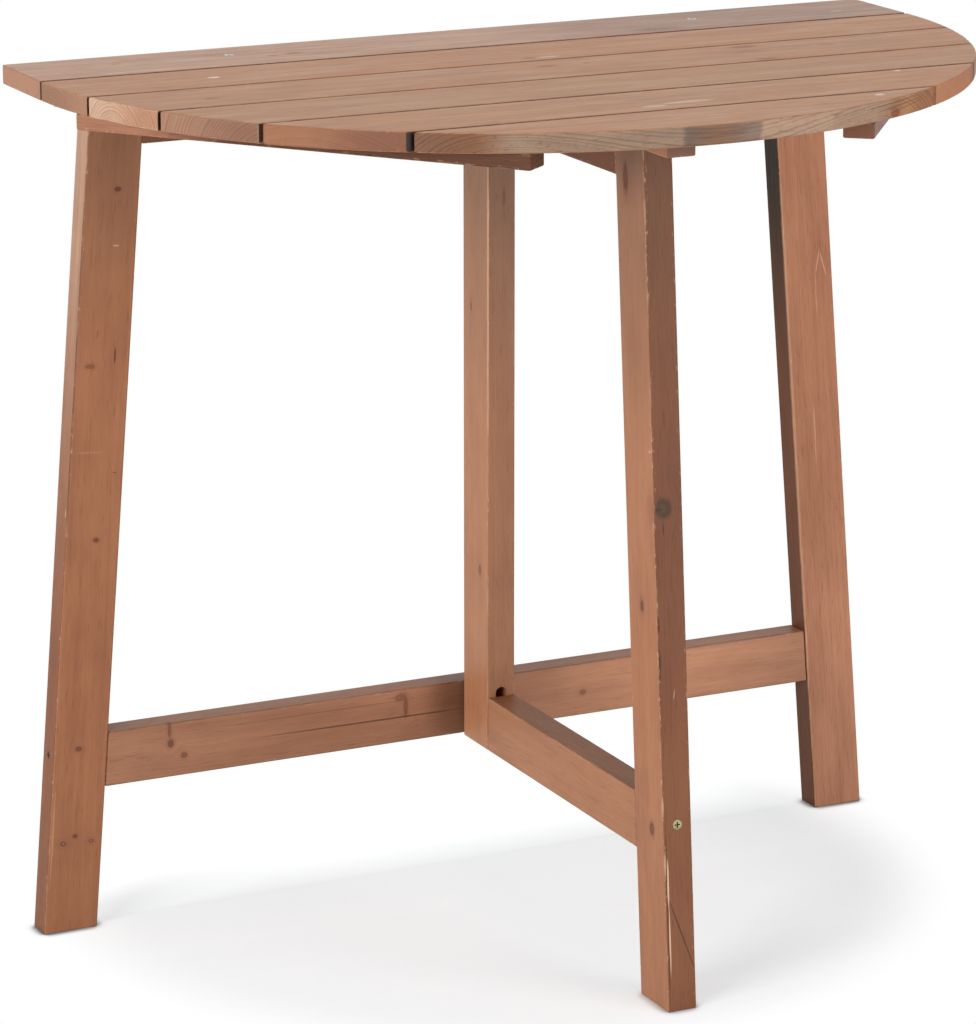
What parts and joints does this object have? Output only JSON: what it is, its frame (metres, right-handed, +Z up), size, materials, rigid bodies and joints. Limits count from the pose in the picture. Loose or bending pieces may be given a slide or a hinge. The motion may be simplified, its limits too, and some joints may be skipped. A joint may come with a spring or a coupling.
{
  "type": "folding half-round table",
  "caption": "Slatted half-round gateleg table: a fixed back slat on splayed legs, a hinged half-circle leaf and a swinging gate that props it up",
  "frame": {"origin": "on the floor under the middle of the top's box", "axes": "+X along the straight back edge to the right, +Y towards the wall behind, +Z up"},
  "size_m": [0.8, 0.489, 0.738],
  "materials": {
    "top_timber": "stained, matt, lightly weathered",
    "frame_timber": "stained, matt",
    "hinge_steel": "zinc plated",
    "screw_steel": "yellow zinc plated"
  },
  "bodies": {
    "frame": {"fixed_slat": "top_timber", "left_leg": "frame_timber", "right_leg": "frame_timber", "top_rail": "frame_timber", "back_stretcher": "frame_timber", "top_screws": "screw_steel", "leg_screws": "screw_steel", "left_leaf_hinge_fixed_plate": "hinge_steel", "left_leaf_hinge_pin": "hinge_steel", "right_leaf_hinge_fixed_plate": "hinge_steel", "right_leaf_hinge_pin": "hinge_steel", "upper_gate_hinge_fixed_plate": "hinge_steel", "upper_gate_hinge_pin": "hinge_steel", "lower_gate_hinge_fixed_plate": "hinge_steel", "lower_gate_hinge_pin": "hinge_steel", "frame_hinge_screws": "screw_steel"},
    "leaf": {"leaf_slat_1": "top_timber", "leaf_slat_2": "top_timber", "leaf_slat_3": "top_timber", "leaf_slat_4": "top_timber", "leaf_slat_5": "top_timber", "left_batten": "frame_timber", "right_batten": "frame_timber", "centre_batten": "frame_timber", "left_batten_screws": "screw_steel", "right_batten_screws": "screw_steel", "centre_batten_screws": "screw_steel", "left_leaf_hinge_moving_plate": "hinge_steel", "right_leaf_hinge_moving_plate": "hinge_steel", "leaf_hinge_screws": "screw_steel"},
    "gate": {"gate_post": "frame_timber", "gate_leg": "frame_timber", "gate_rail": "frame_timber", "gate_stretcher": "frame_timber", "gate_screws": "screw_steel", "upper_gate_hinge_moving_plate": "hinge_steel", "lower_gate_hinge_moving_plate": "hinge_steel", "gate_hinge_screws": "screw_steel"}
  },
  "joints": [
    {"name": "gate_swing", "type": "hinge", "parent": "frame", "child": "gate", "pos_m": [0.021, 0.2005, 0.42], "axis": [0, 0, 1], "range_deg": [0, 90]},
    {"name": "leaf_lift", "type": "hinge", "parent": "frame", "child": "leaf", "pos_m": [0, 0.1555, 0.719], "axis": [-1, 0, 0], "range_deg": [0, 11]}
  ]
}
